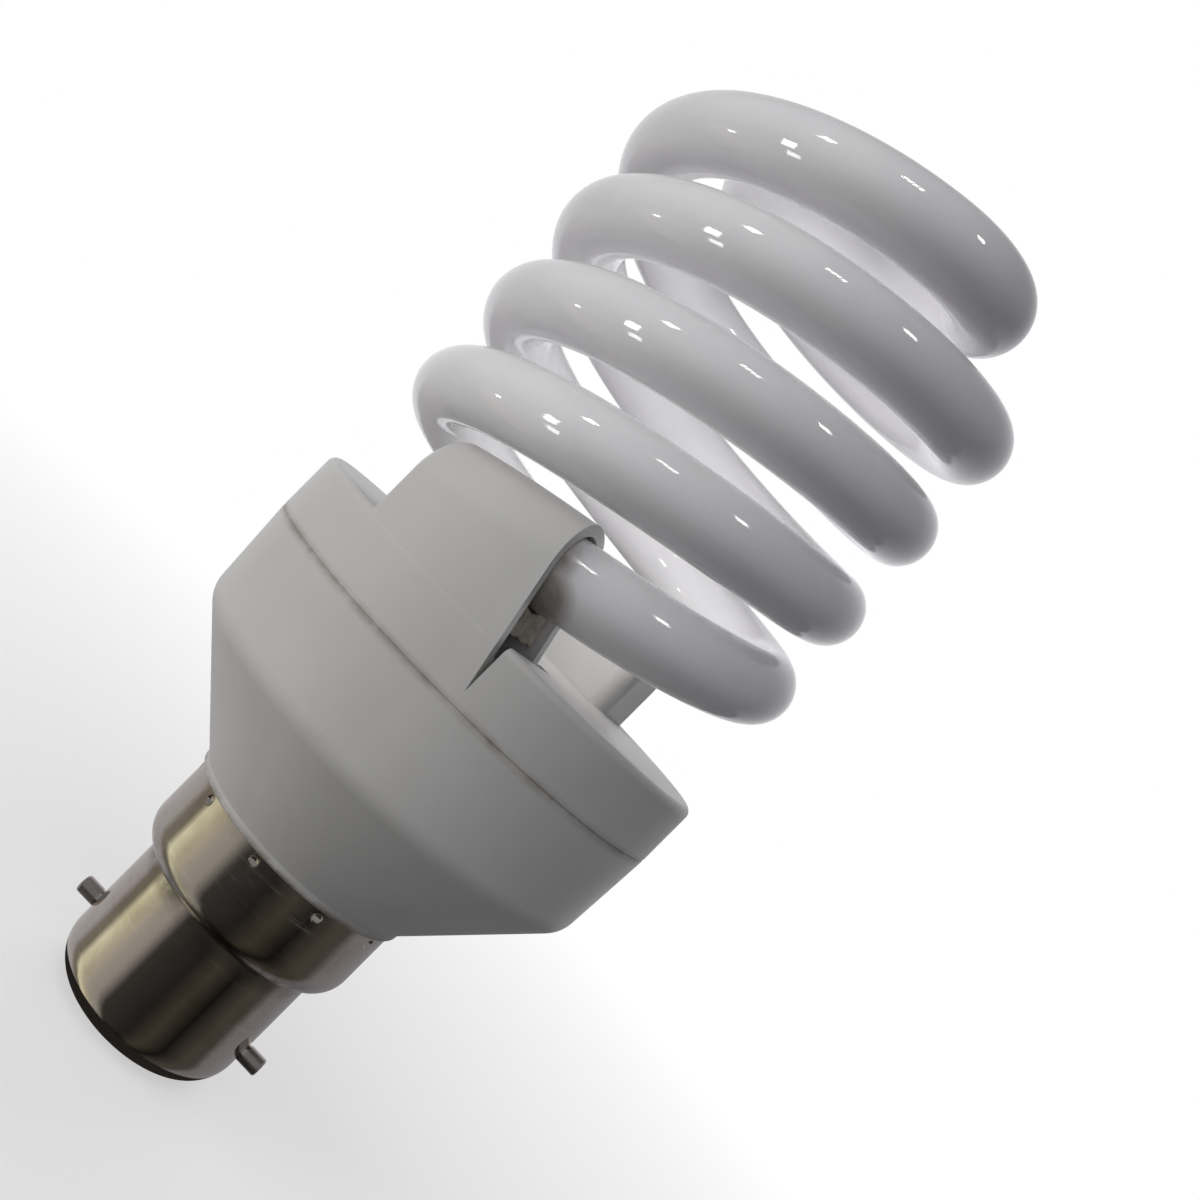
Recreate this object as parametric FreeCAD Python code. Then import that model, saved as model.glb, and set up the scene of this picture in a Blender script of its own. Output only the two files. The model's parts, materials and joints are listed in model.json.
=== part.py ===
import FreeCAD, Part
import math
import os

# A spiral energy saving lamp with a two pin bayonet cap, standing upright on its own axis.
# Lengths are in millimetres and angles in degrees. The origin is on the axis, in the plane of
# the bayonet pins. +Z runs towards the glass spiral, and -Y is the front.

# Bayonet cap
cap_radius = 11.0
cap_wall = 0.45
cap_depth = 5.7
cap_end_round = 3.9
cap_mouth_inset = 1.6
sleeve_height = 9.9
collar_step = 2.25
collar_slope = 0.7
collar_round = 3.0
collar_height = 9.6
dimple_count = 10
dimple_radius = 0.7
dimple_depth = 0.35
dimple_drop = 0.85
dimple_turn = -9.0

# Bayonet pins
pin_radius = 1.05
pin_reach = 2.5
pin_tip_round = 0.3
pin_stem_radius = 0.7
pin_head_radius = 1.3
pin_head_thickness = 0.5

# Insulator and contacts
insulator_height = 3.4
contact_offset = 4.4
contact_radius = 2.2
contact_height = 0.4
contact_round = 0.15

# Housing, with the heights of its parts from the cap upwards
housing_radius = 26.0
housing_wall = 1.7
neck_depth = 6.0
neck_fit = 0.05
neck_wall = 1.6
neck_round = 0.4
lip_overhang = 0.55
lip_height = 0.9
lip_round = 0.35
cone_height = 12.8
shoulder_inset = 0.65
shoulder_round = 3.2
skirt_height = 10.7
seam_gap = 0.16
seam_round = 0.12
band_height = 7.0
deck_thickness = 1.7
deck_round = 0.9
spigot_wall = 1.5
spigot_fit = 0.12
bead_radius = 0.35
bead_drop = 2.0
bead_fit = 0.08

# Glass spiral, with its front leg and its back leg wound a little differently
tube_radius = 4.0
coil_inset = 0.15
front_pitch = 21.45
back_pitch = 22.07
front_top_rise = 51.9
back_top_rise = 52.6
bridge_rise = 2.6
tucked_rise = 7.5
coil_top_deg = 642.0
coil_lean_deg = 3.0
coil_tilt_deg = 1.8
tuck_from_deg = -5.0
tuck_to_deg = -95.0
coil_step_deg = 12.0

# How far the housing and the glass are turned on the cap, and where their front is
body_turn_deg = 4.0
front_deg = -90.0

# Hoods over the tube's ends
hood_wall = 1.2
hood_gap = 0.45
hood_step = 0.05
hood_turn_deg = -19.4
hood_end_deg = 28.5
hood_to_mouth = 7.7
hood_mouth_rise = 2.5
hood_mouth_tilt_deg = 10.7
hood_end_round = 1.8
hood_slit_run = 1.5
hood_margin_deg = 7.0
hood_sections = 9
tube_end_gap = 2.6
cement_back = 4.2
cement_inset = 0.6
cement_low_rise = 0.4
cement_fit = 0.08

# Circuit board and what it carries, with places on the board from the axis
board_drop = 5.9
board_thickness = 1.6
board_gap = 0.8
ledge_width = 1.3
ledge_height = 1.6
capacitor_radius = 5.0
capacitor_length = 20.0
capacitor_round = 0.6
capacitor_groove = 0.4
capacitor_groove_drop = 2.2
choke_place = (-12.2, 0.0)
choke_length = 12.0
choke_depth = 4.6
choke_height = 9.0
choke_yoke = 1.8
choke_bar = 1.5
choke_leg = 2.4
bobbin_fit = 0.1
bobbin_wall = 0.5
bobbin_flange = 0.7
bobbin_reach = 5.0
winding_inset = 0.4
drive_place = (11.6, -7.4)
drive_outer = 4.4
drive_inner = 2.4
drive_height = 3.6
drive_wire = 0.5
drive_band_deg = 50.0
drive_bands = 3
transistor_width = 7.4
transistor_depth = 3.0
transistor_height = 10.4
transistor_round = 0.4
high_place = (4.6, 12.4)
low_place = (13.2, 4.4)
low_turn_deg = 90.0
film_round = 0.8
resonant_place = (-6.0, 13.2)
resonant_size = (10.0, 4.6, 8.0)
start_place = (-7.5, -13.4)
start_size = (8.0, 3.6, 7.0)
coupling_place = (4.2, -14.8)
coupling_size = (7.0, 3.4, 6.0)
diode_radius = 1.2
diode_length = 4.4
diode_places = ((3.6, -7.4), (3.6, -10.1), (-3.4, -7.4), (-3.4, -10.1))
resistor_radius = 0.9
resistor_length = 4.0
resistor_places = ((-13.4, 6.4), (-13.4, 8.4), (-13.4, 10.4))
trigger_radius = 0.8
trigger_length = 3.6
trigger_place = (-14.6, -7.6)
fuse_radius = 1.4
fuse_length = 6.0
fuse_place = (12.2, 10.3)
body_round = 0.3

# Wires and posts
post_side = 0.9
post_height = 6.0
tube_lead_radius = 0.3
tube_lead_spread = 1.5
tube_lead_bend = 0.8
tube_lead_stub = 1.4
mains_lead_radius = 0.5
mains_lead_bend = 2.5
mains_lead_fit = 0.05
mains_lead_inset = 2.75
mains_rise = 10.7
mains_spread = 8.0

# Sizes worked out from the ones above
legs = ("front", "back")
cap_end_z = -cap_depth
cap_mouth_radius = cap_radius - cap_mouth_inset
collar_radius = cap_radius + collar_step
collar_foot_z = sleeve_height
collar_corner_z = collar_foot_z + collar_slope
collar_top_z = collar_foot_z + collar_height
pin_tip = cap_radius + pin_reach
neck_radius = collar_radius - cap_wall - neck_fit
neck_low_z = collar_top_z - neck_depth
neck_bore = neck_radius - neck_wall
lip_radius = collar_radius + lip_overhang
lip_top_z = collar_top_z + lip_height
shoulder_radius = housing_radius - shoulder_inset
shoulder_z = lip_top_z + cone_height
seam_z = shoulder_z + skirt_height
seam_low_z = seam_z - seam_gap / 2
seam_high_z = seam_z + seam_gap / 2
deck_z = seam_z + band_height
deck_under_z = deck_z - deck_thickness
housing_bore = housing_radius - housing_wall
board_seat_z = seam_z - board_drop
board_top_z = board_seat_z + board_thickness
board_radius = housing_bore - board_gap
ledge_bore = board_radius - ledge_width
spigot_radius = housing_bore - spigot_fit
spigot_bore = spigot_radius - spigot_wall
bead_z = seam_low_z - bead_drop
hood_arch = tube_radius + hood_gap + hood_wall
tucked_radius = housing_radius - hood_step - hood_arch
tucked_z = deck_z + tucked_rise
hood_to_end = tucked_radius * math.sin(math.radians(hood_end_deg))
coil_radius = housing_radius - coil_inset - tube_radius
coil_pitch = (front_pitch, back_pitch)
coil_pitch_mean = (front_pitch + back_pitch) / 2
coil_top_z = (deck_z + front_top_rise, deck_z + back_top_rise)
hood_mouth_z = deck_z + hood_mouth_rise
hood_slit = hood_to_mouth + hood_slit_run
hood_near = tucked_radius - hood_arch
hood_reach = max(hood_slit, hood_to_end)
hood_span_deg = math.degrees(math.asin(hood_reach / hood_near)) + hood_margin_deg
cement_low_z = deck_z + cement_low_rise

AXIS = FreeCAD.Vector(0, 0, 1)
CENTRE = FreeCAD.Vector(0, 0, 0)
reach = 4 * housing_radius


def spot(radius, angle, z):
    """The point at this distance from the axis, this angle from +X and this height."""
    turn = math.radians(angle)
    return FreeCAD.Vector(radius * math.cos(turn), radius * math.sin(turn), z)


def bend_between(before, corner, after, radius):
    """An arc of this radius that is tangent to both runs at a corner."""
    to_before = (before - corner).normalize()
    to_after = (after - corner).normalize()
    half = to_before.getAngle(to_after) / 2
    run = radius / math.tan(half)
    middle = (to_before + to_after).normalize()
    inside = corner + middle * (radius / math.sin(half) - radius)
    return Part.Arc(corner + to_before * run, inside, corner + to_after * run)


def rounded_edges(points, rounds, closed):
    """Lines through the points, with a tangent arc at each point whose rounding is over zero."""
    count = len(points)
    edges = []
    first = None
    last = None
    for i in range(count):
        inner = closed or 0 < i < count - 1
        if inner and rounds[i] > 0:
            arc = bend_between(points[i - 1], points[i], points[(i + 1) % count], rounds[i])
            start, end = arc.StartPoint, arc.EndPoint
        else:
            arc = None
            start, end = points[i], points[i]
        if last is None:
            first = start
        else:
            edges.append(Part.LineSegment(last, start).toShape())
        if arc:
            edges.append(arc.toShape())
        last = end
    if closed:
        edges.append(Part.LineSegment(last, first).toShape())
    return edges


def outline(corners):
    """A closed outline beside the axis, from corners given as radius, height and rounding."""
    points = [FreeCAD.Vector(c[0], 0, c[1]) for c in corners]
    rounds = [c[2] if len(c) > 2 else 0 for c in corners]
    return Part.Face(Part.Wire(rounded_edges(points, rounds, True)))


def turned(corners):
    """A solid turned about the axis from an outline."""
    return outline(corners).revolve(CENTRE, AXIS, 360)


def cylinder(radius, low, high, place=(0, 0)):
    """An upright cylinder between two heights."""
    return Part.makeCylinder(radius, high - low, FreeCAD.Vector(place[0], place[1], low))


def block(size, place, low):
    """An upright block, centred on a place, that starts at this height."""
    corner = FreeCAD.Vector(place[0] - size[0] / 2, place[1] - size[1] / 2, low)
    return Part.makeBox(size[0], size[1], size[2], corner)


def rod(radius, length, place, z):
    """A rod along X, centred on a place, with rounded ends."""
    start = FreeCAD.Vector(place[0] - length / 2, place[1], z)
    body = Part.makeCylinder(radius, length, start, FreeCAD.Vector(1, 0, 0))
    rims = [e for e in body.Edges if isinstance(e.Curve, Part.Circle)]
    return body.makeFillet(body_round, rims)


def wire(points, radius, bend):
    """A round wire along straight runs joined by tangent arcs."""
    path = Part.Wire(rounded_edges(points, [bend] * len(points), False))
    section = Part.makeCircle(radius, points[0], points[1] - points[0])
    return path.makePipeShell([Part.Wire(section)], True, False)


def half_turned(shape, turned_round):
    """The shape, or a copy of it turned half way round the axis."""
    copy = shape.copy()
    if turned_round:
        copy.rotate(CENTRE, AXIS, 180)
    return copy


def export(shape, node):
    shape.exportStep("parts/" + node + ".step")
    print(node, len(shape.Solids), "solids", round(shape.Volume, 2), "mm3", shape.isValid())


os.makedirs("parts", exist_ok=True)


# Cap shell, with crimp dimples that grip the housing's neck
def cap_outside():
    return turned(
        [
            (0, cap_end_z),
            (cap_radius, cap_end_z, cap_end_round),
            (cap_radius, collar_foot_z),
            (collar_radius, collar_corner_z, collar_round),
            (collar_radius, collar_top_z),
            (0, collar_top_z),
        ]
    )


def cap_inside(top):
    return turned(
        [
            (0, cap_end_z + cap_wall),
            (cap_radius - cap_wall, cap_end_z + cap_wall, cap_end_round - cap_wall),
            (cap_radius - cap_wall, collar_foot_z + cap_wall),
            (collar_radius - cap_wall, collar_corner_z + cap_wall, collar_round - cap_wall),
            (collar_radius - cap_wall, top),
            (0, top),
        ]
    )


def dimples(extra):
    """Balls that press the collar in, each larger by extra."""
    z = collar_top_z - dimple_drop
    distance = collar_radius + dimple_radius - dimple_depth
    first = front_deg + body_turn_deg + dimple_turn
    angles = [first + 360 / dimple_count * i for i in range(dimple_count)]
    return Part.Compound([Part.makeSphere(dimple_radius + extra, spot(distance, a, z)) for a in angles])


stem_hole = Part.makeCylinder(
    pin_stem_radius, 2 * cap_radius, FreeCAD.Vector(-cap_radius, 0, 0), FreeCAD.Vector(1, 0, 0)
)
collar_core = cylinder(collar_radius, collar_corner_z, collar_top_z)
cap_shell = cap_outside().cut(cap_inside(collar_top_z)).cut(stem_hole)
cap_shell = cap_shell.fuse(dimples(cap_wall).common(collar_core)).cut(dimples(0))
cap_shell = cap_shell.cut(cylinder(cap_mouth_radius, cap_end_z, cap_end_z + cap_end_round))
export(cap_shell.removeSplitter(), "cap_shell")


# Bayonet pins, each with a stem through the shell and a head inside it
def bayonet_pin():
    head_face = math.sqrt((cap_radius - cap_wall) ** 2 - pin_head_radius**2)
    head_back = head_face - pin_head_thickness
    corners = [
        (0, head_back),
        (pin_head_radius, head_back),
        (pin_head_radius, head_face),
        (pin_stem_radius, head_face),
        (pin_stem_radius, cap_radius),
        (pin_radius, cap_radius),
        (pin_radius, pin_tip, pin_tip_round),
        (0, pin_tip),
    ]
    pin = turned(corners)
    pin.rotate(CENTRE, FreeCAD.Vector(0, 1, 0), 90)
    return pin


export(half_turned(bayonet_pin(), False), "bayonet_pin_right")
export(half_turned(bayonet_pin(), True), "bayonet_pin_left")


# Insulator that closes the cap's end, with a hole for each mains lead
lead_hole = mains_lead_radius + mains_lead_fit
plug = cap_outside().common(cylinder(cap_mouth_radius, cap_end_z, cap_end_z + cap_wall + cap_end_round))
filling = cap_inside(cap_end_z + collar_top_z + cap_depth)
filling = filling.common(cylinder(cap_radius, cap_end_z, cap_end_z + insulator_height))
cap_insulator = plug.common(cylinder(cap_radius, cap_end_z, cap_end_z + insulator_height)).fuse(filling)
for side in (-1, 1):
    hole = cylinder(lead_hole, cap_end_z, cap_end_z + insulator_height, (0, side * contact_offset))
    cap_insulator = cap_insulator.cut(hole)
export(cap_insulator.removeSplitter(), "cap_insulator")

# Contacts on the insulator's end, and the mains leads that rise from them to the board
mains_offset = neck_bore - mains_lead_inset
for name, side in zip(legs, (-1, 1)):
    contact = cylinder(contact_radius, cap_end_z - contact_height, cap_end_z, (0, side * contact_offset))
    low_rim = min(contact.Edges, key=lambda e: e.BoundBox.ZMax)
    export(contact.makeFillet(contact_round, [low_rim]), "contact_" + name)
    points = [
        FreeCAD.Vector(0, side * contact_offset, cap_end_z),
        FreeCAD.Vector(0, side * contact_offset, cap_end_z + mains_rise),
        FreeCAD.Vector(0, side * mains_offset, cap_end_z + mains_rise + mains_spread),
        FreeCAD.Vector(0, side * mains_offset, board_seat_z),
    ]
    export(wire(points, mains_lead_radius, mains_lead_bend), "mains_lead_" + name)

# Lower housing: neck, lip, cone and wall in one moulding, with a ledge for the board
cone_run = shoulder_radius - lip_radius
cone_slant = math.hypot(cone_run, cone_height)
cone_wall = housing_wall * cone_slant / cone_height
lower_housing = turned(
    [
        (0, neck_low_z),
        (neck_radius, neck_low_z, neck_round),
        (neck_radius, collar_top_z),
        (lip_radius, collar_top_z, lip_round),
        (lip_radius, lip_top_z, lip_round),
        (shoulder_radius, shoulder_z, shoulder_round),
        (housing_radius, seam_low_z, seam_round),
        (0, seam_low_z),
    ]
)
bore_turn_z = lip_top_z + (neck_bore + cone_wall - lip_radius) * cone_height / cone_run
shoulder_bore = shoulder_radius - housing_wall
shoulder_bore_z = shoulder_z + (shoulder_bore + cone_wall - shoulder_radius) * cone_height / cone_run
lower_bore = turned(
    [
        (0, neck_low_z),
        (neck_bore, neck_low_z),
        (neck_bore, bore_turn_z),
        (shoulder_bore, shoulder_bore_z),
        (shoulder_bore, board_seat_z - ledge_height - ledge_width),
        (ledge_bore, board_seat_z - ledge_height),
        (ledge_bore, board_seat_z),
        (housing_bore, board_seat_z),
        (housing_bore, seam_low_z),
        (0, seam_low_z),
    ]
)
lower_housing = lower_housing.cut(lower_bore).cut(dimples(cap_wall + neck_fit).common(collar_core))
bead_groove = Part.makeTorus(spigot_radius, bead_radius + bead_fit, FreeCAD.Vector(0, 0, bead_z))
export(lower_housing.cut(bead_groove), "lower_housing")


# Path of the glass tube: two legs that wind down from a bridge on the axis
def coil_point(leg, angle):
    """The tube's centre on one leg. Low on the leg it bends in towards its hood."""
    share = (tuck_from_deg - angle) / (tuck_from_deg - tuck_to_deg)
    share = min(max(share, 0), 1)
    tuck = (1 - math.cos(math.pi * share)) / 2
    coil_z = coil_top_z[leg] - coil_pitch[leg] * (coil_top_deg - angle) / 360
    low_z = tucked_z + coil_pitch_mean * (angle - front_deg) / 360
    radius = coil_radius + (tucked_radius - coil_radius) * tuck
    centre_z = coil_z + (low_z - coil_z) * tuck
    return leaning(spot(radius, angle + 180 * leg + body_turn_deg, centre_z), 1 - tuck)


def bridge_point(leg, share):
    """The tube's centre on one half of the bridge, from the coil (0) to the axis (1)."""
    turn = coil_top_deg + 180 * leg + body_turn_deg
    half = spot(coil_radius / 2, turn, 0) + spot(coil_radius / 2, turn + 180 * share, 0)
    crest_z = (coil_top_z[0] + coil_top_z[1]) / 2 + bridge_rise
    start = coil_pitch[leg] / 4
    climb = crest_z - coil_top_z[leg]
    ease = start * share + (3 * climb - 2 * start) * share**2 + (start - 2 * climb) * share**3
    return leaning(half + AXIS * (coil_top_z[leg] + ease), 1)


def leaning(point, share):
    """The point as it stands on the real lamp, whose coil leans to the left and is tilted up on the right."""
    aside = (point.z - tucked_z) * math.tan(math.radians(coil_lean_deg))
    upward = point.dot(spot(1, body_turn_deg, 0)) * math.tan(math.radians(coil_tilt_deg)) * share
    return point - spot(aside, body_turn_deg, 0) + AXIS * upward


tube_end = hood_to_end - hood_wall - tube_end_gap
coil_start_deg = front_deg + hood_turn_deg - math.degrees(math.asin(tube_end / tucked_radius))
coil_steps = math.ceil((coil_top_deg - coil_start_deg) / coil_step_deg)
bridge_steps = math.ceil(180 / (2 * coil_step_deg))
coil_slope = math.atan(coil_pitch_mean / (2 * math.pi * coil_radius))


def leg_points(leg):
    """Points along the tube's centre from the low end of one leg up to the coil's top."""
    step = (coil_top_deg - coil_start_deg) / coil_steps
    return [coil_point(leg, coil_start_deg + step * i) for i in range(coil_steps + 1)]


def bridge_points(leg):
    """Points along one half of the bridge, without its two ends."""
    return [bridge_point(leg, i / bridge_steps) for i in range(1, bridge_steps)]


def smooth(points):
    """A smooth curve through the points."""
    curve = Part.BSplineCurve()
    curve.interpolate(points)
    return curve


def bar_along(curve, radius):
    """A round bar along a curve. Its sections stand upright."""
    start = curve.value(curve.FirstParameter)
    side = curve.tangent(curve.FirstParameter)[0].cross(AXIS).normalize()
    tall = radius / math.cos(coil_slope)
    section = Part.Ellipse(start + AXIS * tall, start + side * radius, start)
    sweep = Part.BRepOffsetAPI.MakePipeShell(Part.Wire(curve.toShape()))
    sweep.setBiNormalMode(AXIS)
    sweep.add(Part.Wire(section.toShape()), False, False)
    sweep.build()
    sweep.makeSolid()
    return sweep.shape()


# Spiral tube: one sealed glass tube that can't be seen into, so it is one solid
front_half = leg_points(0) + bridge_points(0)
back_half = leg_points(1) + bridge_points(1)
tube_curve = smooth(front_half + [bridge_point(0, 1)] + back_half[::-1])
export(bar_along(tube_curve, tube_radius), "spiral_tube")


# Hoods, built over the front end of the tube and turned half way round for the back
def hood_arch_wire(angle, thinner, low):
    """The hood's section at an angle: two upright walls under a round arch."""
    crown = tucked_z + coil_pitch_mean * (angle - front_deg) / 360
    half = hood_arch - thinner
    near = tucked_radius - half
    far = tucked_radius + half
    turn = angle + body_turn_deg
    arch = Part.Arc(
        spot(far, turn, crown), spot(tucked_radius, turn, crown + half), spot(near, turn, crown)
    )
    foot = Part.LineSegment(spot(near, turn, low), spot(far, turn, low))
    outer_wall = Part.LineSegment(spot(far, turn, low), spot(far, turn, crown))
    inner_wall = Part.LineSegment(spot(near, turn, crown), spot(near, turn, low))
    return Part.Wire([part.toShape() for part in (foot, outer_wall, arch, inner_wall)])


def hood_bar(thinner, low):
    """A curved bar with the hood's section, longer than the hood at both ends."""
    middle = front_deg + hood_turn_deg
    step = 2 * hood_span_deg / (hood_sections - 1)
    angles = [middle - hood_span_deg + step * i for i in range(hood_sections)]
    return Part.makeLoft([hood_arch_wire(a, thinner, low) for a in angles], True, False)


def mouth_at(z):
    """How far along the hood its tilted mouth lies at a height."""
    return hood_to_mouth - (z - hood_mouth_z) * math.tan(math.radians(hood_mouth_tilt_deg))


def along_hood(corners):
    """A slice across the front of the lamp, from corners along the hood and in height."""
    points = [FreeCAD.Vector(s, 0, z) for s, z in corners]
    face = Part.Face(Part.makePolygon(points + points[:1]))
    slab = face.extrude(FreeCAD.Vector(0, -reach, 0))
    slab.rotate(CENTRE, AXIS, hood_turn_deg + body_turn_deg)
    return slab


hood_top = tucked_z + hood_arch + coil_pitch_mean
hood_foot = deck_z - deck_thickness / 2
hood_slice = along_hood(
    [
        (-hood_to_end, hood_foot),
        (mouth_at(hood_foot), hood_foot),
        (mouth_at(hood_top), hood_top),
        (-hood_to_end, hood_top),
    ]
)
hood = hood_bar(0, hood_foot - deck_thickness).common(hood_slice)
hood_axis = spot(1, hood_turn_deg + body_turn_deg, 0)
end_edges = [
    e
    for e in hood.Edges
    if all(abs(v.Point.dot(hood_axis) + hood_to_end) < seam_round for v in e.Vertexes)
    and e.BoundBox.ZMax > deck_z
]
hood = hood.makeFillet(hood_end_round, end_edges)

hood_inside_end = hood_wall - hood_to_end
inside_slice = along_hood(
    [
        (hood_inside_end, deck_under_z),
        (mouth_at(deck_under_z), deck_under_z),
        (mouth_at(hood_top), hood_top),
        (hood_inside_end, hood_top),
    ]
)
hood_inside = hood_bar(hood_wall, deck_under_z).common(inside_slice)
slit_low_z = hood_mouth_z - hood_slit_run / math.tan(math.radians(hood_mouth_tilt_deg))
slit = along_hood([(mouth_at(hood_top), hood_top), (hood_slit, slit_low_z), (hood_slit, hood_top)])
slit = slit.common(hood_bar(-hood_wall, slit_low_z - hood_wall))

# Upper housing: wall, deck, spigot and both hoods in one moulding
upper_housing = turned(
    [
        (0, board_top_z),
        (spigot_radius, board_top_z),
        (spigot_radius, seam_high_z),
        (housing_radius, seam_high_z, seam_round),
        (housing_radius, deck_z, deck_round),
        (0, deck_z),
    ]
)
upper_housing = upper_housing.cut(
    turned(
        [
            (0, board_top_z),
            (spigot_bore, board_top_z),
            (spigot_bore, seam_high_z + spigot_wall),
            (housing_bore, seam_high_z + spigot_wall + housing_bore - spigot_bore),
            (housing_bore, deck_under_z),
            (0, deck_under_z),
        ]
    )
)
bead = Part.makeTorus(spigot_radius, bead_radius, FreeCAD.Vector(0, 0, bead_z))
bead = bead.cut(cylinder(spigot_bore + spigot_wall / 2, bead_z - bead_radius, bead_z + bead_radius))
upper_housing = upper_housing.fuse(bead)
for back in (False, True):
    upper_housing = upper_housing.fuse(half_turned(hood, back))
for back in (False, True):
    upper_housing = upper_housing.cut(half_turned(hood_inside, back)).cut(half_turned(slit, back))
export(upper_housing.removeSplitter(), "upper_housing")

# Cement that holds each end of the tube in its hood
cement_from = hood_inside_end + cement_back
cement_slice = along_hood(
    [
        (cement_from, cement_low_z),
        (mouth_at(cement_low_z) - cement_inset, cement_low_z),
        (mouth_at(hood_top) - cement_inset, hood_top),
        (cement_from, hood_top),
    ]
)
cement_block = hood_bar(hood_wall + cement_fit, deck_under_z).common(cement_slice)
bed_steps = math.ceil(-coil_start_deg / coil_step_deg)
for leg, name in enumerate(legs):
    bed = bar_along(smooth(leg_points(leg)[:bed_steps]), tube_radius + cement_fit)
    export(half_turned(cement_block, leg == 1).cut(bed), "tube_cement_" + name)

# Circuit board
export(cylinder(board_radius, board_seat_z, board_top_z), "circuit_board")

# Bulk capacitor, a can that hangs from the board into the neck
can_low_z = board_seat_z - capacitor_length
groove_z = board_seat_z - capacitor_groove_drop
bulk_capacitor = turned(
    [
        (0, can_low_z),
        (capacitor_radius, can_low_z, capacitor_round),
        (capacitor_radius, groove_z - capacitor_groove),
        (capacitor_radius - capacitor_groove, groove_z),
        (capacitor_radius, groove_z + capacitor_groove),
        (capacitor_radius, board_seat_z, capacitor_round),
        (0, board_seat_z),
    ]
)
export(bulk_capacitor, "bulk_capacitor")

# Choke: a core with two windows, a bobbin on its middle leg and the winding on that
choke_low_z = board_seat_z - choke_height
leg_z = board_seat_z - choke_height / 2
window_length = choke_length - 2 * choke_yoke
window_height = (choke_height - 2 * choke_bar - choke_leg) / 2
choke_core = block((choke_length, choke_depth, choke_height), choke_place, choke_low_z)
for low in (choke_low_z + choke_bar, leg_z + choke_leg / 2):
    choke_core = choke_core.cut(block((window_length, choke_depth, window_height), choke_place, low))
export(choke_core, "choke_core")


def choke_sleeve(length, depth, height):
    """A block centred on the choke's middle leg."""
    return block((length, depth, height), choke_place, leg_z - height / 2)


barrel_length = window_length - 2 * bobbin_fit
hole_depth = choke_depth + 2 * bobbin_fit
hole_height = choke_leg + 2 * bobbin_fit
barrel_depth = hole_depth + 2 * bobbin_wall
barrel_height = hole_height + 2 * bobbin_wall
flange_height = choke_leg + 2 * window_height - 2 * bobbin_fit
flange_depth = 2 * bobbin_reach
wound_length = barrel_length - 2 * bobbin_flange
choke_bobbin = choke_sleeve(barrel_length, flange_depth, flange_height)
choke_bobbin = choke_bobbin.cut(choke_sleeve(wound_length, flange_depth, flange_height))
choke_bobbin = choke_bobbin.fuse(choke_sleeve(barrel_length, barrel_depth, barrel_height))
choke_bobbin = choke_bobbin.cut(choke_sleeve(barrel_length, hole_depth, hole_height)).removeSplitter()
export(choke_bobbin, "choke_bobbin")
choke_winding = choke_sleeve(wound_length, flange_depth - winding_inset, flange_height - winding_inset)
choke_winding = choke_winding.cut(choke_sleeve(wound_length, barrel_depth, barrel_height))
export(choke_winding, "choke_winding")

# Ring transformer that drives the transistors, with three bands of wire
drive_top_z = board_seat_z - drive_wire
drive_low_z = drive_top_z - drive_height
drive_core = cylinder(drive_outer, drive_low_z, drive_top_z, drive_place)
drive_core = drive_core.cut(cylinder(drive_inner, drive_low_z, drive_top_z, drive_place))
export(drive_core, "drive_core")
band_face = outline(
    [
        (drive_inner - drive_wire, drive_low_z - drive_wire),
        (drive_outer + drive_wire, drive_low_z - drive_wire),
        (drive_outer + drive_wire, board_seat_z),
        (drive_inner - drive_wire, board_seat_z),
    ]
)
bands = []
for i in range(drive_bands):
    band = band_face.revolve(CENTRE, AXIS, drive_band_deg)
    band.rotate(CENTRE, AXIS, 360 / drive_bands * i)
    band.translate(FreeCAD.Vector(drive_place[0], drive_place[1], 0))
    bands.append(band.cut(drive_core))
export(Part.Compound(bands), "drive_windings")

# Transistors that stand on the board's underside
transistor_size = (transistor_width, transistor_depth, transistor_height)
for name, place, turn in (("high", high_place, 0), ("low", low_place, low_turn_deg)):
    body = block(transistor_size, (0, 0), board_seat_z - transistor_height)
    upright = [e for e in body.Edges if abs(e.tangentAt(e.FirstParameter).z) > math.cos(1)]
    body = body.makeFillet(transistor_round, upright)
    body.rotate(CENTRE, AXIS, turn)
    body.translate(FreeCAD.Vector(place[0], place[1], 0))
    export(body, "transistor_" + name)

# Film capacitors, dipped bodies with rounded edges
film_parts = (
    ("resonant", resonant_place, resonant_size),
    ("start", start_place, start_size),
    ("coupling", coupling_place, coupling_size),
)
for name, place, size in film_parts:
    body = block(size, place, board_seat_z - size[2])
    soft = [e for e in body.Edges if e.BoundBox.ZMin < board_seat_z - film_round]
    export(body.makeFillet(film_round, soft), name + "_capacitor")

# Small parts that lie against the board's underside
diodes = [rod(diode_radius, diode_length, p, board_seat_z - diode_radius) for p in diode_places]
export(Part.Compound(diodes), "rectifier_diodes")
resistors = [
    rod(resistor_radius, resistor_length, p, board_seat_z - resistor_radius) for p in resistor_places
]
export(Part.Compound(resistors), "base_resistors")
export(rod(trigger_radius, trigger_length, trigger_place, board_seat_z - trigger_radius), "trigger_diode")
export(rod(fuse_radius, fuse_length, fuse_place, board_seat_z - fuse_radius), "fuse_resistor")

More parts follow.
